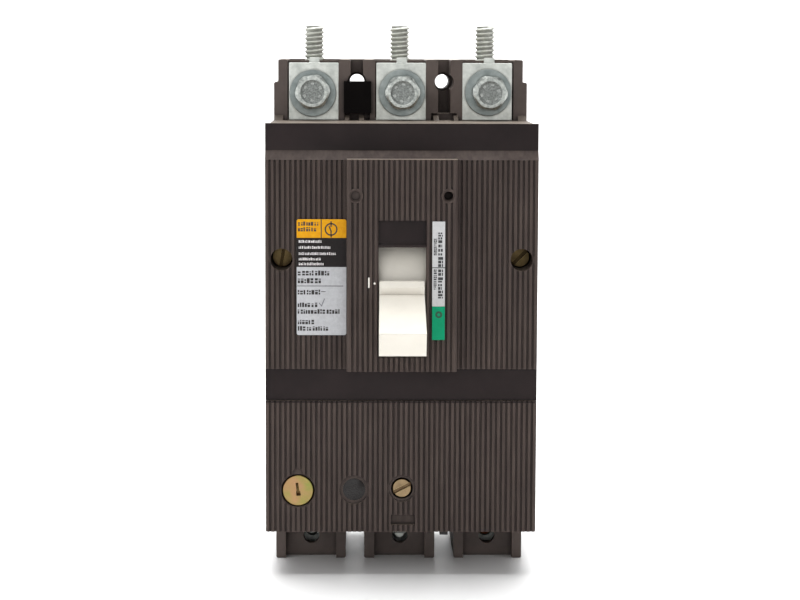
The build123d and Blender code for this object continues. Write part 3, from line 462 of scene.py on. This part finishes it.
def make_finish(name, dark, light, grain=2600.0, bump=0.00002, rough=(0.4, 0.55), metallic=0.0,
                wear=None, painted_shade=None, painted_sheen=None, mottle=70.0, specular=0.5, stretch=None,
                contrast=(0.3, 0.7)):
    """Material that drifts between two colours, with grain, worn edges, painted shade in its crevices and,
    where asked, painted sheen on up-facing faces.
    """
    material, tree, shader = new_material(name)
    shader.inputs["Metallic"].default_value = metallic
    shader.inputs["Specular IOR Level"].default_value = specular
    place = object_place(tree)
    if stretch:
        place = stretched(tree, place, stretch)
    drift = spread(tree, noise(tree, place, mottle, 4.0, 0.6), *contrast)
    colour = blend_colour(tree, drift, linear(*dark), linear(*light))
    finish_nodes(tree, shader, colour, place, grain, bump, rough, wear, painted_shade, painted_sheen)
    return material


def inside(tree, value, low, high):
    """One between two positions and zero outside them."""
    above = spread(tree, value, low - HAIR, low + HAIR)
    below = spread(tree, value, high + HAIR, high - HAIR)
    return calculate(tree, "MULTIPLY", above, below)


def case_plastic():
    """Dark brown phenolic: ribs painted paler as the side light would light them, darker smooth bands,
    painted shade in the grooves, and painted sheen on up-facing faces.
    """
    material, tree, shader = new_material("case_plastic")
    shader.inputs["Specular IOR Level"].default_value = 0.15
    place = object_place(tree)
    axes = parts_of(tree, place)
    x, z = axes["X"], axes["Z"]
    drift = spread(tree, noise(tree, place, 45.0, 4.0, 0.6), 0.3, 0.7)
    smooth = blend_colour(tree, drift, linear(28, 21, 21), linear(39, 31, 31))
    # Ribbed faces get paler colours than the smooth ones: painted light, standing in for the side light that
    # catches the ribs.
    streaks = spread(tree, noise(tree, stretched(tree, place, (1, 1, 0.08)), 500.0, 3.0, 0.6), 0.3, 0.7)
    lit_ribs = blend_colour(tree, streaks, linear(62, 53, 50), linear(82, 71, 66))
    lit_ribs = blend_colour(tree, spread(tree, drift, 0.0, 1.0, 0.0, 0.3), lit_ribs, linear(56, 48, 45))
    bands = calculate(tree, "MAXIMUM", inside(tree, z, *BAND_Z), inside(tree, z, *CROWN_Z))
    recess = calculate(tree, "MULTIPLY", inside(tree, x, *RECESS_X), inside(tree, z, *RECESS_Z))
    colour = blend_colour(tree, calculate(tree, "MAXIMUM", bands, recess), lit_ribs, smooth)
    finish_nodes(
        tree, shader, colour, place, grain=3200.0, bump=0.00003, rough=(0.42, 0.6),
        wear=((112, 98, 90), 0.0003, 0.6), painted_shade=((13, 10, 10), 0.0012, 0.95), painted_sheen=(SHEEN_TINT, 0.48),
    )
    return material


def dial_zinc():
    """Yellow passivated zinc whose tint wanders between gold, pink and green."""
    material, tree, shader = new_material("dial_zinc")
    shader.inputs["Metallic"].default_value = 1.0
    place = object_place(tree)
    tint = add(tree, "ShaderNodeValToRGB", {"Fac": noise(tree, place, 130.0, 3.0, 0.6)})
    ramp = tint.color_ramp
    ramp.elements[0].position = 0.30
    ramp.elements[0].color = linear(166, 124, 98)
    ramp.elements[1].position = 0.72
    ramp.elements[1].color = linear(124, 138, 70)
    for position, colour in ((0.44, linear(162, 130, 92)), (0.58, linear(146, 134, 80))):
        ramp.elements.new(position).color = colour
    finish_nodes(
        tree, shader, tint.outputs["Color"], place, grain=1600.0, bump=0.00003, rough=(0.3, 0.5),
        wear=((222, 196, 130), 0.0003, 0.7), painted_shade=((50, 30, 14), 0.0016, 1.0),
    )
    return material


def label_print():
    """Printed foil: yellow, black and silver fields on the rating label, and white on the strip."""
    material, tree, shader = new_material("label_print")
    shader.inputs["Specular IOR Level"].default_value = 0.2
    place = object_place(tree)
    axes = parts_of(tree, place)
    x, z = axes["X"], axes["Z"]
    flecks = spread(tree, noise(tree, place, 900.0, 3.0, 0.7), 0.3, 0.7)
    silver = blend_colour(tree, flecks, linear(178, 179, 182), linear(194, 195, 198))
    black = blend_colour(tree, flecks, linear(18, 13, 14), linear(26, 20, 20))
    yellow = blend_colour(tree, flecks, linear(216, 146, 0), linear(228, 166, 2))
    white = blend_colour(tree, flecks, linear(184, 184, 185), linear(198, 198, 198))
    above_silver = spread(tree, z, LABEL_BLACK_Z0 - HAIR, LABEL_BLACK_Z0 + HAIR)
    above_black = spread(tree, z, LABEL_YELLOW_Z0 - HAIR, LABEL_YELLOW_Z0 + HAIR)
    colour = blend_colour(tree, above_silver, silver, black)
    colour = blend_colour(tree, above_black, colour, yellow)
    # the rating label lies left of the middle and the strip right of it
    colour = blend_colour(tree, spread(tree, x, -1 * MM, 1 * MM), colour, white)
    finish_nodes(
        tree, shader, colour, place, grain=1800.0, bump=0.000008, rough=(0.34, 0.48),
        wear=((190, 186, 178), 0.0002, 0.4),
    )
    return material


MATERIALS = {name: make_finish(name, **values) for name, values in FINISHES.items()}
MATERIALS["case_plastic"] = case_plastic()
MATERIALS["yellow_zinc"] = dial_zinc()
MATERIALS["label_print"] = label_print()


def dress_cad_nodes():
    """Every CAD node gets its finish, welded vertices and small rounded edges."""
    for name, piece in NODES.items():
        piece.data.materials.clear()
        piece.data.materials.append(MATERIALS[OWN_FINISH.get(name, SLOT_OF[name])])
        weld = piece.modifiers.new("weld", "WELD")
        weld.merge_threshold = WELD_DISTANCE
        bevel = piece.modifiers.new("bevel", "BEVEL")
        bevel.limit_method = "ANGLE"
        bevel.angle_limit = BEVEL_ANGLE
        bevel.width = EDGE_WIDTH.get(name, EDGE)
        bevel.segments = 2


# Mesh helpers

def add_piece(name, bm, finish, smooth_angle=30):
    """Piece on the housing with smooth shading up to an angle."""
    mesh = bpy.data.meshes.new(name)
    bmesh.ops.recalc_face_normals(bm, faces=bm.faces)
    bm.to_mesh(mesh)
    bm.free()
    mesh.shade_smooth()
    mesh.set_sharp_from_angle(angle=math.radians(smooth_angle))
    piece = bpy.data.objects.new(name, mesh)
    bpy.context.scene.collection.objects.link(piece)
    mesh.materials.append(MATERIALS[finish])
    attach(piece, "housing")
    return piece


def turns(sides):
    """Angles of the corners of a regular polygon."""
    return [2 * math.pi * i / sides for i in range(sides)]


def circle(x, z, r, sides):
    """Points round a middle on a front face."""
    return [(x + r * math.cos(angle), z + r * math.sin(angle)) for angle in turns(sides)]


def ring_at(bm, points, y):
    """Vertices at (x, z) points, all at one depth."""
    return [bm.verts.new((x, y, z)) for x, z in points]


def skin(bm, rings, close_ends=True):
    """Quads between closed rings of the same number of vertices, and caps on the two ends."""
    count = len(rings[0])
    for lower, upper in zip(rings, rings[1:]):
        for i in range(count):
            j = (i + 1) % count
            bm.faces.new((lower[i], lower[j], upper[j], upper[i]))
    if close_ends:
        bm.faces.new(list(reversed(rings[0])))
        bm.faces.new(rings[-1])


def raised(bm, points, y_front, y_back):
    """Thin raised patch with the outline of (x, z) points, facing the front and open behind."""
    front = ring_at(bm, points, y_front)
    back = ring_at(bm, points, y_back)
    bm.faces.new(front)
    skin(bm, [front, back], close_ends=False)


def bar(bm, x, z, angle, r0, r1, half, y_front, y_back):
    """Small raised bar on a front face, from r0 to r1 along an angle about (x, z)."""
    c, s = math.cos(angle), math.sin(angle)
    ends = ((r0, -half), (r1, -half), (r1, half), (r0, half))
    raised(bm, [(x + r * c - side * s, z + r * s + side * c) for r, side in ends], y_front, y_back)


def rectangle(x0, x1, z0, z1):
    return [(x0, z0), (x1, z0), (x1, z1), (x0, z1)]


def rounded(x0, x1, z0, z1, r, steps=4):
    """Corner points of a rectangle with rounded corners."""
    corners = (
        (x1 - r, z1 - r, 0),
        (x0 + r, z1 - r, 90),
        (x0 + r, z0 + r, 180),
        (x1 - r, z0 + r, 270),
    )
    points = []
    for cx, cz, start in corners:
        for i in range(steps + 1):
            angle = math.radians(start + 90 * i / steps)
            points.append((cx + r * math.cos(angle), cz + r * math.sin(angle)))
    return points


def ring_patch(bm, x, z, outer, inner, y, sides=28):
    """Thin raised ring facing the front."""
    edges = ((inner, 0), (inner, PRINT_T), (outer, PRINT_T), (outer, 0))
    rings = [ring_at(bm, circle(x, z, r, sides), y - height) for r, height in edges]
    skin(bm, rings, close_ends=False)


# Studs and bolts

def thread_radius(phase, crest, root):
    """Radius along one turn of a thread with narrow flats on its crest and root."""
    rise = (abs(phase % 1.0 - 0.5) * 2 - CREST_FLAT) / THREAD_FLANK
    return root + (crest - root) * min(max(rise, 0.0), 1.0)


def threaded_studs():
    """Three terminal studs with a real helical thread, in place of the plain ones."""
    low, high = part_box("line_studs")
    radius = (high[1] - low[1]) / 2
    y = (high[1] + low[1]) / 2
    thread_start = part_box("line_terminal_blocks")[1][2] + THREAD_GAP
    step = THREAD_PITCH / THREAD_STEPS
    count = int((high[2] - thread_start) / step)
    levels = [low[2], thread_start - 0.05 * MM]
    levels += [thread_start + i * step for i in range(count + 1)] + [high[2]]
    bm = bmesh.new()
    for x in (low[0] + radius, (low[0] + high[0]) / 2, high[0] - radius):
        rings = []
        for z in levels:
            ring = []
            for angle in turns(THREAD_SIDES):
                r = radius * COLLAR_SHARE
                if z >= thread_start:
                    phase = (z - low[2]) / THREAD_PITCH - angle / (2 * math.pi)
                    r = thread_radius(phase, radius, radius * ROOT_SHARE)
                    r = min(r, radius * TIP_SHARE + (high[2] - z) * TIP_SLOPE)
                ring.append(bm.verts.new((x + r * math.cos(angle), y + r * math.sin(angle), z)))
            rings.append(ring)
        skin(bm, rings)
    piece = add_piece("threaded_studs", bm, "stud_steel", 40)
    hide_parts("line_studs")


def hexagon_radius(angle):
    """Distance from the middle of a bolt head to its side, in the direction of the angle."""
    sector = math.pi / 3
    return HEAD_FLATS / math.cos((angle + sector / 2) % sector - sector / 2)


def shank_centres(node, end_y):
    """X and Z of the middle of each shank's end, left to right, from the vertices at the node's rear."""
    ends = {}
    for vertex in NODES[node].data.vertices:
        if vertex.co.y > end_y - 0.01 * MM:
            ends.setdefault(round(vertex.co.x / POLE_PITCH), []).append(vertex.co)
    centres = []
    for key in sorted(ends):
        found = ends[key]
        centres.append((
            (min(v.x for v in found) + max(v.x for v in found)) / 2,
            (min(v.z for v in found) + max(v.z for v in found)) / 2,
        ))
    return centres


def head_profile(turn, thickness):
    """Rings of (radius, depth) of a head: its dish, its chamfer, and its side down to the washer."""
    rings = [[(r * MM, depth * MM)] * HEAD_SIDES for r, depth in DISH]
    offset = math.radians(30 - turn)
    outline = [min(hexagon_radius(angle + offset), HEAD_CORNER) for angle in turns(HEAD_SIDES)]
    for share in CHAMFER_SHARES:
        radii = [HEAD_RIM + (outer - HEAD_RIM) * share for outer in outline]
        rings.append([(r, max(0.0, r - HEAD_RIM) * CHAMFER_SLOPE) for r in radii])
    rings.append([(r, depth + CORNER_DROP) for r, depth in rings[-1]])
    rings.append([(r, thickness) for r, depth in rings[-1]])
    return rings


def hex_heads():
    """Three hexagon bolts with a dished face, a chamfered rim and generic raised ticks."""
    low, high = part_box("line_bolts")
    front = low[1]
    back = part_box("line_washers")[0][1]
    bm = bmesh.new()
    for (x, z), turn in zip(shank_centres("line_bolts", high[1]), HEAD_TURNS):
        made = []
        for ring in head_profile(turn, back - front):
            made.append([
                bm.verts.new((x + r * math.cos(angle), front + depth, z + r * math.sin(angle)))
                for (r, depth), angle in zip(ring, turns(HEAD_SIDES))
            ])
        skin(bm, made, close_ends=False)
        bm.faces.new(made[0])
        for face in bm.faces:
            middle = face.calc_center_median()
            if math.hypot(middle.x - x, middle.z - z) < DARK_DISH_R:
                face.material_index = 1
        # shank down to the back of the block
        shank = circle(x, z, SHANK_R, SHANK_SIDES)
        skin(bm, [ring_at(bm, shank, back), ring_at(bm, shank, high[1])])
        # raised ticks on the dished face, in groups of three
        for k, reach in enumerate(TICK_REACHES):
            for s in (-1, 0, 1):
                swing = math.radians(20 + 60 * k + turn + 7 * s)
                bar(bm, x, z, swing, TICK_START, TICK_START + reach * MM, TICK_HALF,
                    front + TICK_DEPTHS[0], front + TICK_DEPTHS[1])
    piece = add_piece("hex_bolts", bm, "rim_steel", 22)
    piece.data.materials.append(MATERIALS["bolt_steel"])
    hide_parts("line_bolts")


# Print

def blank_word(bm, x, z, length, height, y, upright=False):
    """A row of small meaningless blocks as long as a word, along X or down Z."""
    at = 0.0
    while at < length - SHORTEST_BLOCK:
        width = min(height * random.choice(BLOCK_WIDTHS), length - at)
        tall = height * random.choice(BLOCK_HEIGHTS)
        cut = tall * random.choice(BLOCK_CUTS)
        blocks = [(0, tall)]
        if cut:
            blocks = [(0, cut), (cut + height * CUT_GAP, tall)]
        for b0, b1 in blocks:
            if upright:
                box = rectangle(x + b0, x + b1, z - at - width, z - at)
            else:
                box = rectangle(x + at, x + at + width, z + b0, z + b1)
            raised(bm, box, y - PRINT_T, y)
        at += width + height * random.choice(BLOCK_GAPS)


def label_rows(bm, rows, indent):
    for down, length, height in rows:
        x, z = LABEL_LEFT + indent * MM, LABEL_TOP - down * MM
        blank_word(bm, x, z, length * MM, height * MM, LABEL_FACE_Y)


def label_block(bm, x0, x1, down0, down1):
    """Printed rectangle on the rating label, in mm from its left and top edges."""
    low_z, high_z = LABEL_TOP - down1 * MM, LABEL_TOP - down0 * MM
    box = rectangle(LABEL_LEFT + x0 * MM, LABEL_LEFT + x1 * MM, low_z, high_z)
    raised(bm, box, LABEL_FACE_Y - PRINT_T, LABEL_FACE_Y)


def label_bar(bm, x, down, degrees, length, half):
    """Printed stroke on the rating label that starts at a point and runs at an angle."""
    bar(bm, LABEL_LEFT + x * MM, LABEL_TOP - down * MM, math.radians(degrees), 0.0, length * MM,
        half * MM, LABEL_FACE_Y - PRINT_T, LABEL_FACE_Y)


def print_label():
    """Blank greeked print on the rating label, with one plain switch symbol."""
    width = (LABEL_HIGH[0] - LABEL_LEFT) / MM
    dark = bmesh.new()
    label_rows(dark, YELLOW_ROWS, 0.55)
    # divider of the yellow field, and beside it a ring with an open switch
    label_block(dark, 9.3, 9.7, 0.1, YELLOW_DEPTH)
    ring_patch(dark, LABEL_LEFT + 13.3 * MM, LABEL_TOP - 3.9 * MM, 2.5 * MM, 1.95 * MM, LABEL_FACE_Y)
    label_block(dark, 13.05, 13.55, 4.5, 7.0)
    label_block(dark, 13.05, 13.55, 0.8, 2.9)
    label_bar(dark, 13.3, 4.6, 112, 2.1, 0.25)
    # rows, a rule and a dash on the silver field
    label_rows(dark, SILVER_ROWS, 0.4)
    label_block(dark, 0.2, width - 1.2, 25.75, 26.0)
    label_block(dark, 9.4, 11.2, 27.95, 28.2)
    add_piece("label_dark_print", dark, "label_ink")
    # a hand-drawn tick
    pen = bmesh.new()
    label_bar(pen, 8.6, 32.4, -50, 1.8, 0.2)
    label_bar(pen, 9.6, 33.7, 68, 3.2, 0.2)
    add_piece("label_pen_mark", pen, "pen_mark")
    white = bmesh.new()
    label_rows(white, WHITE_ROWS, 0.8)
    add_piece("label_white_print", white, "label_white_ink")


def print_strips():
    """Blank print down the white strip, its divider, and the plain ring of the off position."""
    low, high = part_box("side_label")
    left, y, top = low[0], low[1], high[2]
    dark = bmesh.new()
    for across, down, length, height in STRIP_ROWS:
        blank_word(dark, left + across * MM, top - down * MM, length * MM, height * MM, y, upright=True)
    raised(dark, rectangle(left, high[0], top - 17.95 * MM, top - 17.6 * MM), y - PRINT_T, y)
    add_piece("side_strip_print", dark, "strip_ink")
    low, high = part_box("off_strip")
    mark = bmesh.new()
    x = (low[0] + high[0]) / 2 + 0.15 * MM
    ring_patch(mark, x, high[2] - 3.2 * MM, 1.35 * MM, 0.55 * MM, low[1])
    add_piece("off_ring", mark, "off_mark")


def on_marks():
    """Painted bar and dot of the on position, beside the window."""
    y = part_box("side_label")[1][1]
    bm = bmesh.new()
    raised(bm, rounded(*ON_BAR, ON_BAR_ROUND), y - PAINT_T, y)
    raised(bm, circle(ON_DOT_X, ON_DOT_Z, ON_DOT_R, 16), y - PAINT_T, y)
    add_piece("on_marks", bm, "mark_paint")


make_camera()
make_lights()
make_floor()
dress_cad_nodes()
threaded_studs()
hex_heads()
print_label()
print_strips()
on_marks()
